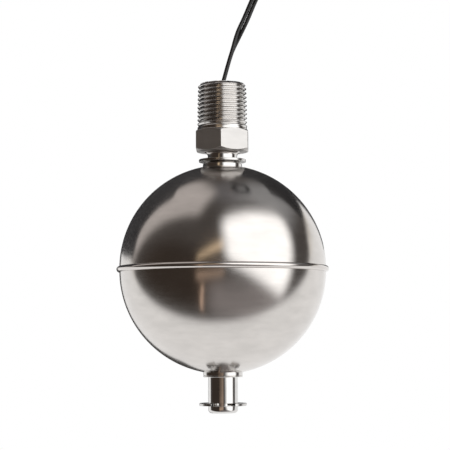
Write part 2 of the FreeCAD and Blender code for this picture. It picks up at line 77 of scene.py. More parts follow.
WELD_LEG = 1.3
WELD_HOLLOW = 1.22  # radius of the fillet's hollow face
WELD_MIDDLE = 1.42  # of that hollow, from the stem and from the hexagon
FLOAT_MIDDLE = -60.335
BALL_RADIUS = 44.45
BALL_INSIDE = 43.55
LIP_RADIUS = 45.05
LIP_HALF = 0.45  # each bowl is straight this far, and its ball starts there
SEAM_RADIUS = 45.7
SEAM_HALF = 1.3
HUB_RADIUS = 8.45
HUB_BORE = 7.48
HUB_END = 46.2
HUB_FOOT = 40.2
HUB_EDGE = 0.8
JOINT_EDGE = 0.18
TUBE_BORE = 6.7
TUBE_RADIUS = 7.45
FLANGE = 0.6
POTTING_TOP = 16.2
LEAD_RADIUS = 0.85
CORE_RADIUS = 0.45
CORE_LENGTH = 6.0

# The coil: both leads wound side by side, in at its top and back over it
COIL_MIDDLE = Vector((29.4, -15.0, 64.94))
COIL_LAYERS = (15.0, 13.24, 11.48, 9.72)
COIL_LEVELS = (1, -1, -1, 1, 1, -1, -1, 1)  # where the pair lies, turn by turn
COIL_UP = 1.76  # middle of the pair when it lies in the upper two levels
POINTS_PER_TURN = 18
CHANGE_TURN = 40  # degrees that a step to the next level or layer takes
CHANGE_EARLY = 28  # degrees before the full turn by which the first step is done
TURN_END = 2340
TIE_HEAD = 1.6  # how far the tie's head stands out of its strap
TIE_THICK = 0.8
TIE_WIDTH = 2.6
TIE_ROOM = 0.27  # between the strap and the leads

LEAD_A_ROUTE = [
    (0.1, -0.95, 16.2), (0.1, -0.95, 19.6), (1.5, -0.94, 24.9), (3.25, -0.93, 31.0),
    (4.6, -0.93, 35.3), (5.7, -0.72, 39.6), (7.15, -0.29, 44.0), (9.3, -0.05, 48.5),
    (11.15, 0.0, 52.8), (13.1, 0.0, 57.5), (15.4, 0.0, 62.0), (19.3, 0.0, 65.7),
    (24.3, 0.0, 67.6),
]
LEAD_B_ROUTE = [
    (0.1, 0.95, 16.2), (0.1, 0.95, 19.6), (1.5, 0.94, 24.8), (3.25, 0.93, 31.1),
    (4.65, 0.93, 35.3), (6.85, 0.72, 39.6), (9.05, 0.29, 44.0), (11.2, 0.05, 48.4),
    (13.0, 0.0, 52.8), (14.75, 0.0, 56.9), (16.7, 0.0, 60.8), (20.1, 0.0, 64.1),
    (24.7, 0.0, 65.8),
]
TAIL_A_ROUTE = [(25.2, -24.9, 68.8), (20.8, -25.5, 71.2), (16.2, -26.2, 72.0)]
TAIL_B_ROUTE = [(25.3, -24.6, 66.8), (20.9, -24.1, 69.2), (16.3, -23.3, 70.0)]

# The set and the camera, in metres and degrees
FLOOR_HEIGHT = -0.2
FLOOR_RADIUS = 0.62
CARD_DISTANCE = 0.2
CARD_TOP = 0.22
CAMERA_PLACE = Vector((0.00104, -0.65, -0.0893))
CAMERA_AIM = Vector((0.00104, 0, -0.0412))
CAMERA_LEAN = -0.2
CAMERA_LENS = 120.75


# Bench tools: each works on one piece at a time


def leave_all():
    bpy.ops.object.select_all(action="DESELECT")


def take(piece):
    leave_all()
    piece.select_set(True)
    bpy.context.view_layer.objects.active = piece


def set_down(name):
    """Leaves edit mode and fixes the piece's place in its mesh."""
    if bpy.context.object.mode == "EDIT":
        bpy.ops.object.mode_set(mode="OBJECT")
    piece = bpy.context.object
    piece.name = name
    piece.data.name = name
    bpy.ops.object.transform_apply(location=True, rotation=True, scale=True)
    return piece


def weld_doubles(distance=0.0005):
    """Merges points that meet and turns all faces outwards, in edit mode."""
    bpy.ops.mesh.select_all(action="SELECT")
    bpy.ops.mesh.remove_doubles(threshold=distance * MM)
    bpy.ops.mesh.normals_make_consistent(inside=False)


def smooth(piece, angle=30):
    take(piece)
    bpy.ops.object.shade_smooth_by_angle(angle=math.radians(angle))
    return piece


def modify(piece, kind, **settings):
    take(piece)
    modifier = piece.modifiers.new(kind.title(), kind)
    for setting, value in settings.items():
        setattr(modifier, setting, value)
    bpy.ops.object.modifier_apply(modifier=modifier.name)
    return piece


def round_edges(piece, width, segments=2, angle=30):
    return modify(
        piece, "BEVEL", width=width * MM, segments=segments, limit_method="ANGLE",
        angle_limit=math.radians(angle), harden_normals=False,
    )


def cut_away(piece, tool, operation="DIFFERENCE"):
    modify(piece, "BOOLEAN", object=tool, operation=operation, solver="EXACT")
    bpy.data.objects.remove(tool)
    return piece


def even_shading(piece, angle=30):
    """Keeps flat faces flat where rounded edges meet them."""
    smooth(piece, angle)
    return modify(piece, "WEIGHTED_NORMAL", keep_sharp=True, weight=80)


def arc(middle, radius, start, end, count):
    """Points of an arc in a turned outline, angles in degrees up from the radius."""
    turns = [math.radians(start + (end - start) * i / count) for i in range(count + 1)]
    return [(middle[0] + radius * math.cos(t), middle[1] + radius * math.sin(t)) for t in turns]


def turned(name, outline, around=128, closed=True, up=0.0):
    """A lathe piece from the outline's radii and heights."""
    outline = [(radius, height + up) for radius, height in outline]
    if closed:
        outline.append(outline[0])
    leave_all()
    first = outline[0]
    bpy.ops.mesh.primitive_plane_add(
        size=MM, location=(first[0] * MM, 0, first[1] * MM), enter_editmode=True)
    bpy.ops.mesh.select_mode(type="VERT")
    bpy.ops.mesh.merge(type="CENTER")
    for (radius, height), (next_radius, next_height) in zip(outline, outline[1:]):
        step = ((next_radius - radius) * MM, 0, (next_height - height) * MM)
        bpy.ops.mesh.extrude_region_move(TRANSFORM_OT_translate={"value": step})
    bpy.ops.mesh.select_all(action="SELECT")
    bpy.ops.mesh.spin(steps=around, angle=math.tau, center=(0, 0, 0), axis=(0, 0, 1))
    weld_doubles()
    return set_down(name)


def copied(node, name):
    """A merged copy of a CAD node, with its flat faces made whole."""
    leave_all()
    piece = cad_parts[node].copy()
    piece.data = piece.data.copy()
    for key in list(piece.keys()):
        del piece[key]
    piece.parent = None
    bpy.context.scene.collection.objects.link(piece)
    take(piece)
    bpy.ops.object.mode_set(mode="EDIT")
    weld_doubles(0.002)
    bpy.ops.mesh.dissolve_limited(angle_limit=math.radians(1))
    piece = set_down(name)
    piece.data.materials.clear()
    return piece


# Finishes: every one is made of nodes on the object's own coordinates


class Finish:
    """A material with one Principled shader, built node by node."""

    def __init__(self, name, colour=(0.8, 0.8, 0.8), metal=0.0, rough=0.5, **sockets):
        self.material = bpy.data.materials.new(name)
        self.material.use_nodes = True
        self.nodes = self.material.node_tree.nodes
        self.links = self.material.node_tree.links
        self.shader = self.nodes["Principled BSDF"]
        self.set("Base Color", (*colour, 1))
        self.set("Metallic", metal)
        self.set("Roughness", rough)
        for socket, value in sockets.items():
            self.set(socket.replace("_", " "), value)
        self.place = self.add("ShaderNodeTexCoord").outputs["Object"]

    def set(self, socket, value):
        self.shader.inputs[socket].default_value = value

    def add(self, kind, inputs=(), **settings):
        node = self.nodes.new(kind)
        for setting, value in settings.items():
            setattr(node, setting, value)
        for socket, value in dict(inputs).items():
            if isinstance(value, bpy.types.NodeSocket):
                self.links.new(value, node.inputs[socket])
            else:
                node.inputs[socket].default_value = value
        return node

    def math(self, operation, first, second=0.0):
        return self.add("ShaderNodeMath", {0: first, 1: second}, operation=operation).outputs[0]

    def stretched(self, scale):
        mapping = self.add("ShaderNodeMapping", {"Vector": self.place, "Scale": scale})
        return mapping.outputs[0]

    def noise(self, vector, scale, detail=3.0, rough=0.5):
        inputs = {"Vector": vector, "Scale": scale, "Detail": detail, "Roughness": rough}
        return self.add("ShaderNodeTexNoise", inputs).outputs["Fac"]

    def between(self, value, low, high, start=0.3, end=0.7, smooth_step=False):
        """Maps a pattern's value from start..end to low..high."""
        inputs = {"Value": value, "From Min": start, "From Max": end, "To Min": low, "To Max": high}
        kind = "SMOOTHSTEP" if smooth_step else "LINEAR"
        return self.add("ShaderNodeMapRange", inputs, interpolation_type=kind).outputs["Result"]

    def blend(self, amount, first, second):
        node = self.add("ShaderNodeMix", data_type="RGBA")
        for socket, value in ((0, amount), (6, first), (7, second)):
            if isinstance(value, bpy.types.NodeSocket):
                self.links.new(value, node.inputs[socket])
            else:
                node.inputs[socket].default_value = (*value, 1) if socket else value
        return node.outputs[2]

    def colour(self, socket):
        self.links.new(socket, self.shader.inputs["Base Color"])

    def roughness(self, socket):
        self.links.new(socket, self.shader.inputs["Roughness"])

    def bump(self, height, distance, strength=1.0):
        last = self.shader.inputs["Normal"].links
        inputs = {"Height": height, "Distance": distance * MM, "Strength": strength}
        if last:
            inputs["Normal"] = last[0].from_socket
        bump = self.add("ShaderNodeBump", inputs)
        self.links.new(bump.outputs["Normal"], self.shader.inputs["Normal"])

    def across(self, middle):
        """Distance from the stem's axis, and height from a middle, both in millimetres."""
        parts = self.add("ShaderNodeSeparateXYZ", {0: self.place}).outputs
        square = self.math("ADD", self.math("POWER", parts[0], 2), self.math("POWER", parts[1], 2))
        away = self.math("MULTIPLY", self.math("SQRT", square), 1 / MM)
        height = self.math("SUBTRACT", self.math("MULTIPLY", parts[2], 1 / MM), middle)
        return away, height


def steel(name, tint, rough, spread, grain, grain_bump=0.0, wave_bump=0.0, ball=False,
          milled=None, **sockets):
    """Stainless steel with fine turning lines round the stem's axis.

    grain is how many lines there are to a millimetre, and on the ball they follow its arc.
    milled is the roughness of the faces below the thread, where there are any.
    """
    finish = Finish(name, tint, 1.0, rough, **sockets)
    away, height = finish.across(FLOAT_MIDDLE)
    if ball:
        along = finish.math("MULTIPLY", finish.math("ARCTAN2", height, away), BALL_RADIUS)
    else:
        along = finish.math("ADD", height, away)
    lines = finish.add("ShaderNodeTexNoise", {"W": along, "Scale": grain, "Detail": 4.0},
                       noise_dimensions="1D").outputs["Fac"]
    drift = finish.noise(finish.stretched((1, 1, 3)), 90, 3.0)
    marks = finish.noise(finish.stretched((60, 60, 2600)), 1.0, 4.0, 0.6)
    mixed = finish.math(
        "ADD", finish.math("MULTIPLY", lines, 0.6), finish.math("MULTIPLY", marks, 0.4))
    shine = finish.between(mixed, rough - spread, rough + spread)
    if milled:
        hex_top = -FLOAT_MIDDLE  # as heights are taken from the float's middle
        below = finish.between(height, milled - rough, 0.0, hex_top - 0.5, hex_top)
        shine = finish.math("ADD", shine, below)
    finish.roughness(shine)
    dull = tuple(part * 0.9 for part in tint)
    finish.colour(finish.blend(finish.between(drift, 0.0, 1.0), dull, tint))
    if grain_bump:
        finish.bump(mixed, grain_bump)
    if wave_bump:
        finish.bump(finish.noise(finish.stretched((1, 1, 2.2)), 55, 2.0), wave_bump)
    return finish.material


FLOAT_FINISH = steel("spun_float_steel", (0.68, 0.648, 0.62), 0.175, 0.05, 9.0, 0.0012, 0.012,
                     ball=True, Anisotropic=0.7, Anisotropic_Rotation=0.25)
FITTING_FINISH = steel("machined_fitting_steel", (0.70, 0.68, 0.66), 0.16, 0.05, 12.0, 0.001, 0.003,
                       milled=0.45)
STEM_FINISH = steel("polished_stem_steel", (0.72, 0.705, 0.69), 0.09, 0.04, 14.0, 0.0006, 0.004)
WELD_FINISH = steel("weld_bead_steel", (0.70, 0.66, 0.63), 0.15, 0.06, 3.0, 0.004, 0.03)
HUB_FINISH = steel("turned_hub_steel", (0.72, 0.70, 0.68), 0.12, 0.05, 10.0, 0.001, 0.008)
RING_FINISH = steel("stamped_ring_steel", (0.66, 0.645, 0.63), 0.20, 0.07, 6.0, 0.002, 0.012)
RETAINER_FINISH = steel("pressed_retainer_steel", (0.62, 0.61, 0.60), 0.3, 0.08, 5.0, 0.002, 0.02)


def speckled(name, colour, other, rough, spread, scale, bump, **sockets):
    """A moulded, cast or fired finish with fine spots and slow changes of tone."""
    finish = Finish(name, colour, rough=rough, **sockets)
    spots = finish.noise(finish.place, scale, 4.0, 0.6)
    slow = finish.noise(finish.place, scale / 12, 2.0)
    mixed = finish.math("MULTIPLY", finish.math("ADD", spots, slow), 0.5)
    finish.colour(finish.blend(finish.between(mixed, 0.0, 1.0), colour, other))
    finish.roughness(finish.between(slow, rough - spread, rough + spread))
    finish.bump(spots, bump)
    return finish.material


INSULATION_FINISH = speckled("black_lead_insulation", (0.005, 0.005, 0.0055), (0.012, 0.011, 0.011),
                             0.24, 0.04, 900, 0.003, Specular_IOR_Level=0.45)
POTTING_FINISH = speckled("black_potting_resin", (0.010, 0.010, 0.011), (0.028, 0.026, 0.025),
                          0.22, 0.1, 900, 0.02, Coat_Weight=0.3, Coat_Roughness=0.1)
TIE_FINISH = speckled("black_nylon_tie", (0.016, 0.016, 0.017), (0.035, 0.035, 0.036),
                      0.42, 0.07, 1800, 0.01)
SPACER_FINISH = speckled("white_nylon_spacer", (0.62, 0.60, 0.55), (0.70, 0.69, 0.65),
                         0.45, 0.07, 1200, 0.01)
SLEEVE_FINISH = speckled("clear_polyester_sleeve", (0.62, 0.55, 0.38), (0.70, 0.64, 0.48),
                         0.25, 0.06, 900, 0.006, Transmission_Weight=0.6)
MAGNET_FINISH = speckled("fired_ferrite_magnet", (0.050, 0.050, 0.054), (0.085, 0.083, 0.085),
                         0.55, 0.1, 1500, 0.03, Metallic=0.25)
SOLDER_FINISH = speckled("tin_solder", (0.60, 0.60, 0.59), (0.74, 0.74, 0.73),
                         0.28, 0.1, 1400, 0.02, Metallic=1.0)


def drawn_wire(name, colour, other, rough):
    """Wire and blades, with draw lines along them and some tarnish."""
    finish = Finish(name, colour, 1.0, rough)
    lines = finish.noise(finish.stretched((6000, 6000, 250)), 1.0, 4.0)
    stain = finish.noise(finish.place, 700, 3.0)
    finish.colour(finish.blend(finish.between(stain, 0.0, 1.0), colour, other))
    finish.roughness(finish.between(lines, rough - 0.08, rough + 0.08))
    finish.bump(lines, 0.004)
    return finish.material


COPPER_FINISH = drawn_wire("tinned_copper_core", (0.72, 0.70, 0.66), (0.80, 0.52, 0.36), 0.24)
BLADE_FINISH = drawn_wire("nickel_iron_blade", (0.60, 0.58, 0.54), (0.68, 0.66, 0.60), 0.22)


def make_board_finish():
    """Glass weave board with a green lacquer and copper tracks down its middle."""
    finish = Finish("green_lacquered_board", (0.02, 0.15, 0.06), rough=0.32, Coat_Weight=0.4)
    warp = finish.add("ShaderNodeTexWave", {"Vector": finish.place, "Scale": 700.0},
                      bands_direction="X").outputs["Fac"]
    weft = finish.add("ShaderNodeTexWave", {"Vector": finish.place, "Scale": 700.0},
                      bands_direction="Z").outputs["Fac"]
    weave = finish.math("MULTIPLY", warp, weft)
    base = finish.blend(weave, (0.012, 0.10, 0.035), (0.03, 0.19, 0.08))
    parts = finish.add("ShaderNodeSeparateXYZ", {0: finish.place}).outputs
    near = finish.math("ABSOLUTE", finish.math("MULTIPLY", parts[1], 1 / MM))
    track = finish.between(near, 1.0, 0.0, 0.55, 0.65)
    finish.colour(finish.blend(track, base, (0.10, 0.26, 0.08)))
    finish.bump(weave, 0.01)
    finish.bump(track, 0.03)
    return finish.material


def make_glass_finish():
    """Green tinted tube glass with faint draw lines."""
    finish = Finish("green_reed_glass", (0.72, 0.86, 0.74), rough=0.04, Transmission_Weight=1.0,
                    IOR=1.49)
    lines = finish.noise(finish.stretched((1500, 1500, 60)), 1.0, 2.0)
    drawn = finish.between(lines, 0.0, 1.0)
    finish.colour(finish.blend(drawn, (0.66, 0.82, 0.69), (0.80, 0.92, 0.82)))
    finish.bump(lines, 0.003)
    return finish.material


BOARD_FINISH = make_board_finish()
GLASS_FINISH = make_glass_finish()


def fit(piece, material, body, slot, *nodes):
    """Gives a new piece its finish and puts it in its CAD nodes' place."""
    piece.data.materials.clear()
    piece.data.materials.append(material)
    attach(piece, body)
    if nodes:
        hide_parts(*nodes)
    return piece


# Cords first: two leads that rise together, lean over and wind into one coil


def eased(share):
    share = min(max(share, 0.0), 1.0)
    return share * share * (3 - 2 * share)


def coil_place(turn, side):
    """Where a lead is after so many degrees of the coil; side is 1 for the upper lead."""
    radius = COIL_LAYERS[0]
    rise = COIL_UP * COIL_LEVELS[0]
    for ring in range(1, len(COIL_LEVELS)):
        begin = ring * (360 - CHANGE_TURN) - CHANGE_EARLY
        share = eased((turn - begin) / CHANGE_TURN)
        radius += (COIL_LAYERS[ring // 2] - COIL_LAYERS[(ring - 1) // 2]) * share
        rise += COIL_UP * (COIL_LEVELS[ring] - COIL_LEVELS[ring - 1]) * share
    angle = math.radians(turn)
    flat = Vector((math.sin(angle), math.cos(angle), 0)) * radius
    return COIL_MIDDLE + flat + Vector((0, 0, rise + COIL_UP / 2 * side))


def coil_points(side):
    steps = round(TURN_END / 360 * POINTS_PER_TURN)
    return [tuple(coil_place(TURN_END * i / steps, side)) for i in range(steps + 1)]


def lead(name, route, tail, side, nodes):
    """A free lead on one smooth line: out of the resin, up, round the coil and back."""
    points = route + coil_points(side) + tail
    curve = bpy.data.curves.new(name, "CURVE")
    curve.dimensions = "3D"
    curve.bevel_depth = LEAD_RADIUS * MM
    curve.bevel_resolution = 5
    curve.use_fill_caps = True
    curve.resolution_u = 5
    spline = curve.splines.new("NURBS")
    spline.points.add(len(points) - 1)
    for control, point in zip(spline.points, points):
        control.co = (*(Vector(point) * MM), 1)
    spline.order_u = 3
    spline.use_endpoint_u = True
    piece = bpy.data.objects.new(name, curve)
    bpy.context.scene.collection.objects.link(piece)
    fit(piece, INSULATION_FINISH, "stem", "lead_insulation", *nodes)
    return piece


def stripped_end(name, tail, nodes):
    """Seven twisted strands, straight on from the insulation."""
    strand = CORE_RADIUS / 3
    steps = 12
    leave_all()
    pieces = []
    for number in range(7):
        away = 0 if number == 0 else CORE_RADIUS - strand
        start = math.tau * number / 6
        bpy.ops.mesh.primitive_circle_add(
            vertices=10, radius=strand * MM, fill_type="NGON", enter_editmode=True,
            location=(away * math.cos(start) * MM, away * math.sin(start) * MM, 0))
        for _ in range(steps):
            rise = (0, 0, CORE_LENGTH / steps * MM)
            bpy.ops.mesh.extrude_region_move(TRANSFORM_OT_translate={"value": rise})
            bpy.ops.transform.rotate(
                value=math.radians(16), orient_axis="Z", center_override=(0, 0, 0))
        bpy.ops.mesh.select_all(action="SELECT")
        bpy.ops.mesh.normals_make_consistent(inside=False)
        pieces.append(set_down(f"{name}_strand"))
        leave_all()
    for piece in pieces:
        piece.select_set(True)
    bpy.context.view_layer.objects.active = pieces[0]
    bpy.ops.object.join()
    heading = Vector(tail[-1]) - Vector(tail[-2])
    turn = heading.to_track_quat("Z", "Y").to_matrix().to_4x4()
    bpy.context.object.data.transform(Matrix.Translation(Vector(tail[-1]) * MM) @ turn)
    piece = smooth(set_down(name), 40)
    return fit(piece, COPPER_FINISH, "stem", "lead_core", *nodes)


def make_tie():
    """A narrow strap round the coil's section, with its head outside."""
    low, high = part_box("coil_tie")
    strap_low = low.x + TIE_HEAD * MM
    half_height = (COIL_UP * 1.5 + LEAD_RADIUS + TIE_ROOM + TIE_THICK) * MM
    middle = Vector(((strap_low + high.x) / 2, COIL_MIDDLE.y * MM, COIL_MIDDLE.z * MM))
    leave_all()
    bpy.ops.mesh.primitive_cube_add(size=1, location=middle, enter_editmode=True)
    bpy.ops.transform.resize(
        value=(high.x - strap_low, TIE_WIDTH * MM, half_height * 2), center_override=middle)
    bpy.ops.mesh.select_mode(type="FACE")
    bpy.ops.object.mode_set(mode="OBJECT")
    piece = bpy.context.object
    for face in piece.data.polygons:
        face.select = abs(face.normal.y) > 0.9
    bpy.ops.object.mode_set(mode="EDIT")
    bpy.ops.mesh.inset(thickness=TIE_THICK * MM, use_individual=True)
    bpy.ops.mesh.bridge_edge_loops()
    bpy.ops.mesh.select_all(action="SELECT")
    bpy.ops.mesh.normals_make_consistent(inside=False)
    strap = round_edges(set_down("coil_tie_strap"), 0.22, 3)
    leave_all()
    place = Vector((strap_low - 0.3 * MM, middle.y, middle.z))
    bpy.ops.mesh.primitive_cube_add(size=1, location=place, enter_editmode=True)
    bpy.ops.transform.resize(value=(2.0 * MM, 3.2 * MM, 3.2 * MM), center_override=place)
    head = round_edges(set_down("tie_head"), 0.35, 3)
    leave_all()
    for part in (head, strap):
        part.select_set(True)
    bpy.context.view_layer.objects.active = strap
    bpy.ops.object.join()
    return fit(even_shading(set_down("coil_tie_strap"), 40), TIE_FINISH, "stem", "tie", "coil_tie")


COIL_TIE = make_tie()
END_A = stripped_end("lead_a_strands", TAIL_A_ROUTE, ["lead_end_a"])
END_B = stripped_end("lead_b_strands", TAIL_B_ROUTE, ["lead_end_b"])
lead("free_lead_a", LEAD_A_ROUTE, TAIL_A_ROUTE, 1, ["lead_a", "lead_coil", "lead_tail_a"])
lead("free_lead_b", LEAD_B_ROUTE, TAIL_B_ROUTE, -1, ["lead_b", "lead_coil", "lead_tail_b"])


# Threaded fitting


def crest_radius(height):
    return THREAD_RADIUS - max(height - THREAD_STRAIGHT, 0) * THREAD_TAPER


def make_thread():
    """One pitch of the groove, screwed up the axis, then tapered and pointed."""
    half = THREAD_PITCH / 2
    crest = 0.13
    root = 0.10
    flank = half - crest - root
    depths = [(0, 1.0), (root, 1.0), (root + 0.07, 0.955)]
    depths += [(root + flank * share, 1 - share) for share in (0.3, 0.5, 0.7)]
    depths += [(half - crest - 0.05, 0.05), (half - crest + 0.03, 0.0)]
    up_side = [(THREAD_PITCH - height, depth) for height, depth in reversed(depths)]
    outline = depths + up_side
    leave_all()
    start = ((THREAD_RADIUS - THREAD_DEPTH) * MM, 0, THREAD_START * MM)
    bpy.ops.mesh.primitive_plane_add(size=MM, location=start, enter_editmode=True)
    bpy.ops.mesh.select_mode(type="VERT")
    bpy.ops.mesh.merge(type="CENTER")
    for (height, depth), (next_height, next_depth) in zip(outline, outline[1:]):
        step = ((depth - next_depth) * THREAD_DEPTH * MM, 0, (next_height - height) * MM)
        bpy.ops.mesh.extrude_region_move(TRANSFORM_OT_translate={"value": step})
    piece = set_down("thread")
    modify(
        piece, "SCREW", axis="Z", angle=math.tau, screw_offset=THREAD_PITCH * MM,
        iterations=THREAD_TURNS, steps=96, render_steps=96, use_merge_vertices=True,
        merge_threshold=0.0005 * MM)
    for point in piece.data.vertices:
        radius = point.co.xy.length / MM
        height = point.co.z / MM
        depth = (THREAD_RADIUS - radius) * eased(height / THREAD_RUNOUT)
        cone = POINT_RADIUS + max(THREAD_LENGTH - height, 0) * POINT_SLOPE
        point.co.xy *= min(crest_radius(height) - depth, cone) / radius
    take(piece)
    bpy.ops.object.mode_set(mode="EDIT")
    for height, above in ((-0.5, False), (THREAD_LENGTH, True)):
        bpy.ops.mesh.select_all(action="SELECT")
        bpy.ops.mesh.bisect(
            plane_co=(0, 0, height * MM), plane_no=(0, 0, 1), use_fill=True,
            clear_outer=above, clear_inner=not above)
    weld_doubles()
    return set_down("thread")


def make_fitting():
    corner = HEX_FLATS / math.sqrt(3)
    slope = math.tan(math.radians(30))
    first = corner - HEX_DROP / slope
    cut = (corner + 1 - first) * slope
    leave_all()
    bpy.ops.mesh.primitive_cylinder_add(
        vertices=6, radius=corner * MM, depth=HEX_HEIGHT * MM, location=(0, 0, -HEX_HEIGHT / 2 * MM),
        rotation=(0, 0, math.radians(HEX_TURN)))
    hexagon = set_down("threaded_fitting")
    outline = [(0, 0), (first, 0), (corner + 1, -cut), (corner + 1, cut - HEX_HEIGHT)]
    outline += [(first, -HEX_HEIGHT), (0, -HEX_HEIGHT)]
    cut_away(hexagon, turned("blank", outline, 144), "INTERSECT")
    round_edges(hexagon, 0.14, 2, 20)
    cut_away(hexagon, make_thread(), "UNION")
    cup = CUP_RADIUS
    socket = STEM_RADIUS + PRESS_GAP
    bore = [(0, THREAD_LENGTH + 1), (cup + 1.4, THREAD_LENGTH + 1), (cup + 0.4, THREAD_LENGTH)]
    bore += [(cup, THREAD_LENGTH - 0.4), (cup, SOCKET_TOP), (socket, SOCKET_TOP)]
    bore += [(socket, -HEX_HEIGHT - 1), (0, -HEX_HEIGHT - 1)]
    cut_away(hexagon, turned("bore", bore, 96))
    even_shading(hexagon, 32)
    return fit(hexagon, FITTING_FINISH, "stem", "fitting_steel", "fitting")


make_fitting()

# Stem, weld and rings


def groove(depth):
    """A ring groove with slightly broken edges, from above to below."""
    edge = 0.06
    return [
        (STEM_RADIUS, depth + GROOVE_HALF + edge), (STEM_RADIUS - edge, depth + GROOVE_HALF),
        (GROOVE_RADIUS, depth + GROOVE_HALF), (GROOVE_RADIUS, depth - GROOVE_HALF),
        (STEM_RADIUS - edge, depth - GROOVE_HALF), (STEM_RADIUS, depth - GROOVE_HALF - edge),
    ]


stem_outline = [(STEM_BORE, SOCKET_TOP), (STEM_RADIUS, SOCKET_TOP)]
stem_outline += groove(UPPER_RING) + groove(LOWER_RING)
stem_outline += arc((STEM_RADIUS - STEM_EDGE, STEM_FOOT + STEM_EDGE), STEM_EDGE, 0, -90, 10)
stem_outline += [(STEM_BORE, STEM_FOOT)]
fit(smooth(turned("grooved_stem", stem_outline, 160)), STEM_FINISH, "stem", "stem_steel",
    "stem_tube")

# the plug's lower face is slightly dished
plug_outline = [
    (radius, STEM_FOOT + up)
    for radius, up in ((0, 0.22), (2.6, 0.2), (3.6, 0.12), (3.92, 0.3), (3.92, 5.3), (0, 5.3))]
fit(smooth(turned("stem_foot_plug", plug_outline, 96)), STEM_FINISH, "stem", "stem_steel",
    "stem_end_plug")

weld_inner = STEM_RADIUS + PRESS_GAP
weld_outline = [(weld_inner, -HEX_HEIGHT), (weld_inner + WELD_LEG, -HEX_HEIGHT)]
weld_outline += arc(
    (weld_inner + WELD_MIDDLE, -HEX_HEIGHT - WELD_MIDDLE), WELD_HOLLOW, 95, 175, 10)
weld_outline += [(weld_inner, -HEX_HEIGHT - WELD_LEG)]
fit(smooth(turned("stem_weld_bead", weld_outline, 144), 60), WELD_FINISH, "stem", "weld_steel",
    "stem_weld")


def make_ring(name, node):
    """An E-ring stamped from strip, with its edges broken."""
    piece = round_edges(copied(node, name), 0.13, 3, 35)
    return fit(even_shading(piece, 35), RING_FINISH, "stem", "ring_steel", node)


make_ring("upper_e_ring", "upper_retaining_ring")
make_ring("lower_e_ring", "lower_retaining_ring")

# Float


def make_bowl(name, side, node):
    """Half of the spun ball, with its lip at the seam and its neck at the hub."""
    hole = HUB_RADIUS + PRESS_GAP
    hub_turn = math.degrees(math.acos(hole / BALL_RADIUS))
    inside_turn = math.degrees(math.acos(hole / BALL_INSIDE))
    outline = [(BALL_INSIDE, 0), (LIP_RADIUS, 0), (LIP_RADIUS, LIP_HALF)]
    outline += arc((0, LIP_HALF), BALL_RADIUS, 0, hub_turn, 88)
    outline += arc((0, LIP_HALF), BALL_INSIDE, inside_turn, 0, 56)
    outline = [(radius, height * side) for radius, height in outline]
    piece = smooth(turned(name, outline, 192, up=FLOAT_MIDDLE))
    return fit(piece, FLOAT_FINISH, "float", "float_steel", node)


make_bowl("upper_float_bowl", 1, "upper_float_shell")
make_bowl("lower_float_bowl", -1, "lower_float_shell")

seam_inner = BALL_RADIUS + 0.02
rise = SEAM_RADIUS - seam_inner
seam_curve = (rise * rise + SEAM_HALF * SEAM_HALF) / 2 / rise
seam_turn = math.degrees(math.asin(SEAM_HALF / seam_curve))
seam_outline = arc((SEAM_RADIUS - seam_curve, 0), seam_curve, -seam_turn, seam_turn, 20)
seam_outline += [(seam_inner, LIP_HALF), (LIP_RADIUS + 0.02, LIP_HALF + 0.02)]
seam_outline += [(LIP_RADIUS + 0.02, -LIP_HALF - 0.02), (seam_inner, -LIP_HALF)]
seam = smooth(turned("float_seam_bead", seam_outline, 240, up=FLOAT_MIDDLE), 40)
fit(seam, WELD_FINISH, "float", "float_steel", "float_seam_weld")

upper_hub = [(HUB_BORE, HUB_FOOT), (HUB_RADIUS, HUB_FOOT), (HUB_RADIUS, HUB_END - HUB_EDGE - 0.05)]
upper_hub += arc((HUB_RADIUS - 0.15, HUB_END - HUB_EDGE - 0.05), 0.15, 10, 45, 3)
upper_hub += arc((HUB_RADIUS - HUB_EDGE, HUB_END - 0.15), 0.15, 45, 90, 3)
upper_hub += [(HUB_BORE, HUB_END)]
fit(smooth(turned("upper_hub_collar", upper_hub, 144, up=FLOAT_MIDDLE)), HUB_FINISH, "float",
    "hub_steel", "upper_hub")

hub_low = FLANGE - HUB_END
lower_hub = [(HUB_BORE, -HUB_FOOT), (HUB_RADIUS, -HUB_FOOT), (HUB_RADIUS, hub_low + JOINT_EDGE)]
lower_hub += [(HUB_RADIUS - JOINT_EDGE, hub_low), (HUB_BORE, hub_low)]
fit(smooth(turned("lower_hub_collar", lower_hub, 144, up=FLOAT_MIDDLE)), HUB_FINISH, "float",
    "hub_steel", "lower_hub")

tube = [(TUBE_BORE, -HUB_END)]
tube += arc((HUB_RADIUS - FLANGE / 2, -HUB_END + FLANGE / 2), FLANGE / 2, -90, 90, 12)
tube += [(TUBE_RADIUS, hub_low), (TUBE_RADIUS, HUB_END), (TUBE_BORE, HUB_END)]
fit(smooth(turned("flanged_float_tube", tube, 144, up=FLOAT_MIDDLE)), HUB_FINISH, "float",
    "hub_steel", "float_centre_tube")


# Resin round the leads


def make_potting():
    """Resin that creeps up the cup's wall and both leads."""
    cup = CUP_RADIUS - 0.02
    outline = [(0, POTTING_TOP)] + [(cup * i / 26, POTTING_TOP) for i in range(1, 27)]
    outline += [(cup, POTTING_TOP - 10), (0, POTTING_TOP - 10)]
    piece = turned("potting_fill", outline, 96)
    exits = [Vector(route[0]).xy for route in (LEAD_A_ROUTE, LEAD_B_ROUTE)]
    for point in piece.data.vertices:
        if point.co.z / MM > POTTING_TOP - 1:
            flat = point.co.xy / MM
            wall = math.exp(-(cup - flat.length) / 0.35) * 0.4
            near = min((flat - place).length for place in exits) - LEAD_RADIUS
            climb = math.exp(-max(near, 0) / 0.3) * 0.3
            point.co.z += (wall + climb - 0.12) * MM
    return fit(smooth(piece, 60), POTTING_FINISH, "stem", "potting", "potting")


make_potting()

# The pieces inside keep their CAD shapes and get their finishes

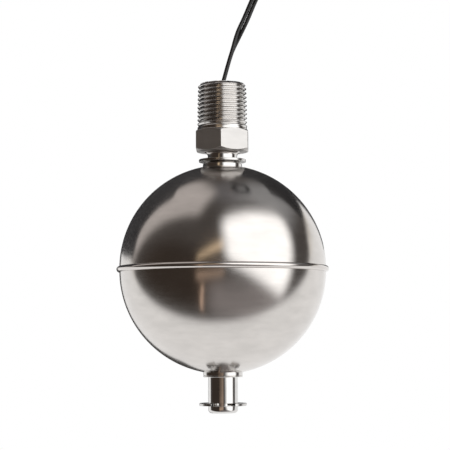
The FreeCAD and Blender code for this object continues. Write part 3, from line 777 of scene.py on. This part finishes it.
INSIDE = {
    "ring_magnet": MAGNET_FINISH,
    "upper_magnet_retainer": RETAINER_FINISH,
    "lower_magnet_retainer": RETAINER_FINISH,
    "reed_board": BOARD_FINISH,
    "upper_reed_blade": BLADE_FINISH,
    "lower_reed_blade": BLADE_FINISH,
    "reed_glass": GLASS_FINISH,
    "upper_solder_joint": SOLDER_FINISH,
    "lower_solder_joint": SOLDER_FINISH,
    "insulating_sleeve": SLEEVE_FINISH,
    "board_spacer": SPACER_FINISH,
    "inner_lead_a": INSULATION_FINISH,
    "inner_lead_b": INSULATION_FINISH,
}
for node, finish in INSIDE.items():
    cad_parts[node].data.materials.clear()
    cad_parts[node].data.materials.append(finish)


# Studio: a pale floor under the switch, and soft boxes and walls all round it


def direction(azimuth, elevation):
    """Azimuth from the front towards +X, elevation up, in degrees."""
    a, e = math.radians(azimuth), math.radians(elevation)
    return Vector((math.sin(a) * math.cos(e), -math.cos(a) * math.cos(e), math.sin(e)))


class Studio:
    """The world: a dim room with flat panels of light, each given by its corners."""

    def __init__(self, colour):
        world = bpy.data.worlds.new("studio_room")
        bpy.context.scene.world = world
        world.use_nodes = True
        self.nodes = world.node_tree.nodes
        self.links = world.node_tree.links
        self.look = self.nodes.new("ShaderNodeTexCoord").outputs["Generated"]
        self.colour = self.nodes.new("ShaderNodeRGB").outputs[0]
        self.colour.default_value = (*colour, 1)

    def side(self, normal, edge, soft):
        """1 on the normal's side of a plane through the switch, 0 past it."""
        dot = self.nodes.new("ShaderNodeVectorMath")
        dot.operation = "DOT_PRODUCT"
        self.links.new(self.look, dot.inputs[0])
        dot.inputs[1].default_value = normal
        step = self.nodes.new("ShaderNodeMapRange")
        step.interpolation_type = "SMOOTHSTEP"
        self.links.new(dot.outputs["Value"], step.inputs["Value"])
        step.inputs["From Min"].default_value = edge - soft
        step.inputs["From Max"].default_value = edge + soft
        return step.outputs["Result"]

    def math(self, kind, first, second):
        node = self.nodes.new("ShaderNodeMath")
        node.operation = kind
        for slot, value in enumerate((first, second)):
            if isinstance(value, (int, float)):
                node.inputs[slot].default_value = value
            else:
                self.links.new(value, node.inputs[slot])
        return node.outputs[0]

    def lay(self, mask, colour):
        mix = self.nodes.new("ShaderNodeMix")
        mix.data_type = "RGBA"
        self.links.new(mask, mix.inputs[0])
        self.links.new(self.colour, mix.inputs[6])
        mix.inputs[7].default_value = (*colour, 1)
        self.colour = mix.outputs[2]

    def panel(self, corners, soft, colour):
        """Corners go round clockwise as seen from the switch."""
        places = [direction(*corner) for corner in corners]
        middle = sum(places, Vector()).normalized()
        mask = 1.0
        for first, second in zip(places, places[1:] + places[:1]):
            normal = first.cross(second).normalized()
            if normal.dot(middle) < 0:
                normal.negate()
            mask = self.math("MULTIPLY", self.side(normal, 0.0, math.sin(math.radians(soft))), mask)
        self.lay(mask, colour)
        return mask

    def finish(self, backdrop):
        """Plain white behind the switch, which metal and glass show where the backdrop is."""
        path = self.nodes.new("ShaderNodeLightPath").outputs
        mirrored = self.math("ADD", path["Is Glossy Ray"], path["Is Transmission Ray"])
        shown = self.math("ADD", path["Is Camera Ray"], self.math("MULTIPLY", mirrored, backdrop))
        self.lay(self.math("MINIMUM", shown, 1.0), (1, 1, 1))
        self.links.new(self.colour, self.nodes["Background"].inputs["Color"])


studio = Studio((0.077, 0.068, 0.063))
# a dim ceiling, and light walls above and on the left
studio.panel([(45, 66), (135, 62), (-135, 74), (-45, 74)], 9, (0.155, 0.149, 0.153))
studio.panel([(-117, 3), (-40, 55), (-60, 85), (-152, 62)], 6, (0.58, 0.54, 0.52))
studio.panel([(60, 74), (150, 64), (142, 33), (92, 30)], 9, (0.31, 0.31, 0.315))
# the dark front, and the grey below it
studio.panel([(-104, 2), (-70, 28), (-12, 10), (-12, -40), (-70, -34)], 14, (0.046, 0.035, 0.028))
studio.panel([(-15, -14), (80, -8), (70, -42), (15, -58), (-22, -50)], 12, (0.26, 0.235, 0.23))
# warm wooden edges
studio.panel([(-29, 6), (-28, 11), (2, 29), (2, 20)], 3, (1.0, 0.76, 0.5))
studio.panel([(-29, -12), (-29, -4), (2, -1), (2, -7)], 3.5, (0.5, 0.36, 0.27))
studio.panel([(-23.5, -17), (-21.5, -19), (-29, -45), (-31.5, -43)], 1.2, (1.0, 0.7, 0.52))
# the large soft box at the front right
studio.panel([(4, 8), (-1, 52), (94, 40), (73, -24)], 7.5, (1.7, 1.7, 1.7))
# the backdrop's low edge behind, and the floor
studio.panel([(103, -12), (118, 19), (150, 27), (178, 8), (178, -25)], 4, (0.86, 0.83, 0.78))
studio.panel([(-178, -25), (-178, 7), (-140, 13), (-116, 3), (-108, -15)], 3, (0.86, 0.83, 0.78))
backdrop = studio.side(Vector((0.061, 0.693, -0.718)), 0.289, 0.085)
studio.lay(backdrop, (1, 1, 1))
# the dark room behind, past the backdrop's edge
for corners, colour in (
        ([(-116, 10), (-140, 52), (148, 50), (152, 26), (162, 5), (-178, 5)], (0.03, 0.03, 0.034)),
        ([(-156, 7), (179, 7), (179, -18), (-163, -32)], (0.06, 0.057, 0.055))):
    room = studio.panel(corners, 2.5, colour)
    backdrop = studio.math("MULTIPLY", backdrop, studio.math("SUBTRACT", 1.0, room))
studio.finish(backdrop)


def lamp(name, place, aim, size, power):
    light = bpy.data.lights.new(name, "AREA")
    light.shape = "RECTANGLE"
    light.size, light.size_y = size
    light.energy = power
    holder = bpy.data.objects.new(name, light)
    bpy.context.scene.collection.objects.link(holder)
    holder.location = place
    holder.rotation_euler = (Vector(aim) - Vector(place)).to_track_quat("-Z", "Y").to_euler()
    holder.visible_glossy = False
    return holder


lamp("front_soft_box", (0.55, -0.6, 0.45), (0, 0, -0.05), (0.6, 0.6), 9)
lamp("top_soft_box", (-0.3, 0.1, 0.8), (0, 0, -0.05), (0.7, 0.7), 7)

leave_all()
bpy.ops.mesh.primitive_circle_add(
    vertices=96, radius=FLOOR_RADIUS, fill_type="NGON", location=(0, 0, FLOOR_HEIGHT))
floor = set_down("studio_floor")
floor.visible_glossy = False
pale = Finish("pale_floor", (0.86, 0.85, 0.84), rough=0.9)
parts = pale.add("ShaderNodeSeparateXYZ", {0: pale.place}).outputs
squares = [pale.math("POWER", part, 2) for part in parts[:2]]
far = pale.math("SQRT", pale.math("ADD", *squares))
pale.links.new(pale.between(far, 1.0, 0.0, 0.25, 0.6, True), pale.shader.inputs["Alpha"])
floor.data.materials.append(pale.material)

# Black cards bent round the back of the switch, out of sight: metal shows them at its edges

VELVET_FINISH = speckled("black_velvet_card", (0.02, 0.02, 0.021), (0.035, 0.034, 0.036), 0.9, 0.05,
                         400, 0.02, Specular_IOR_Level=0.2)


def dark_card(name, start, end, low):
    """A card between two azimuths, from a height up to the cards' top."""
    leave_all()
    bpy.ops.mesh.primitive_plane_add(
        size=MM, location=direction(start, 0) * CARD_DISTANCE + Vector((0, 0, low)),
        enter_editmode=True)
    bpy.ops.mesh.select_mode(type="VERT")
    bpy.ops.mesh.merge(type="CENTER")
    bpy.ops.mesh.extrude_region_move(TRANSFORM_OT_translate={"value": (0, 0, CARD_TOP - low)})
    bpy.ops.mesh.select_all(action="SELECT")
    bpy.ops.mesh.spin(
        steps=24, angle=math.radians(start - end), center=(0, 0, 0), axis=(0, 0, 1))
    card = set_down(name)
    card.data.materials.append(VELVET_FINISH)
    for sight in ("camera", "diffuse", "transmission", "volume_scatter", "shadow"):
        setattr(card, f"visible_{sight}", False)


dark_card("rear_dark_card", -108, -210, -0.035)
dark_card("right_dark_card", 150, 118, 0.05)

# Camera: level with the ball's lower half, looking slightly up
camera_data = bpy.data.cameras.new("camera")
camera_data.sensor_width = 36
camera_data.lens = CAMERA_LENS
camera_data.clip_start = 0.05
camera = bpy.data.objects.new("camera", camera_data)
bpy.context.scene.collection.objects.link(camera)
aim = (CAMERA_AIM - CAMERA_PLACE).to_track_quat("-Z", "Y").to_matrix().to_4x4()
lean = Matrix.Rotation(math.radians(CAMERA_LEAN), 4, "Z")
camera.matrix_world = Matrix.Translation(CAMERA_PLACE) @ aim @ lean
bpy.context.scene.camera = camera
bpy.context.scene.view_settings.view_transform = "Standard"
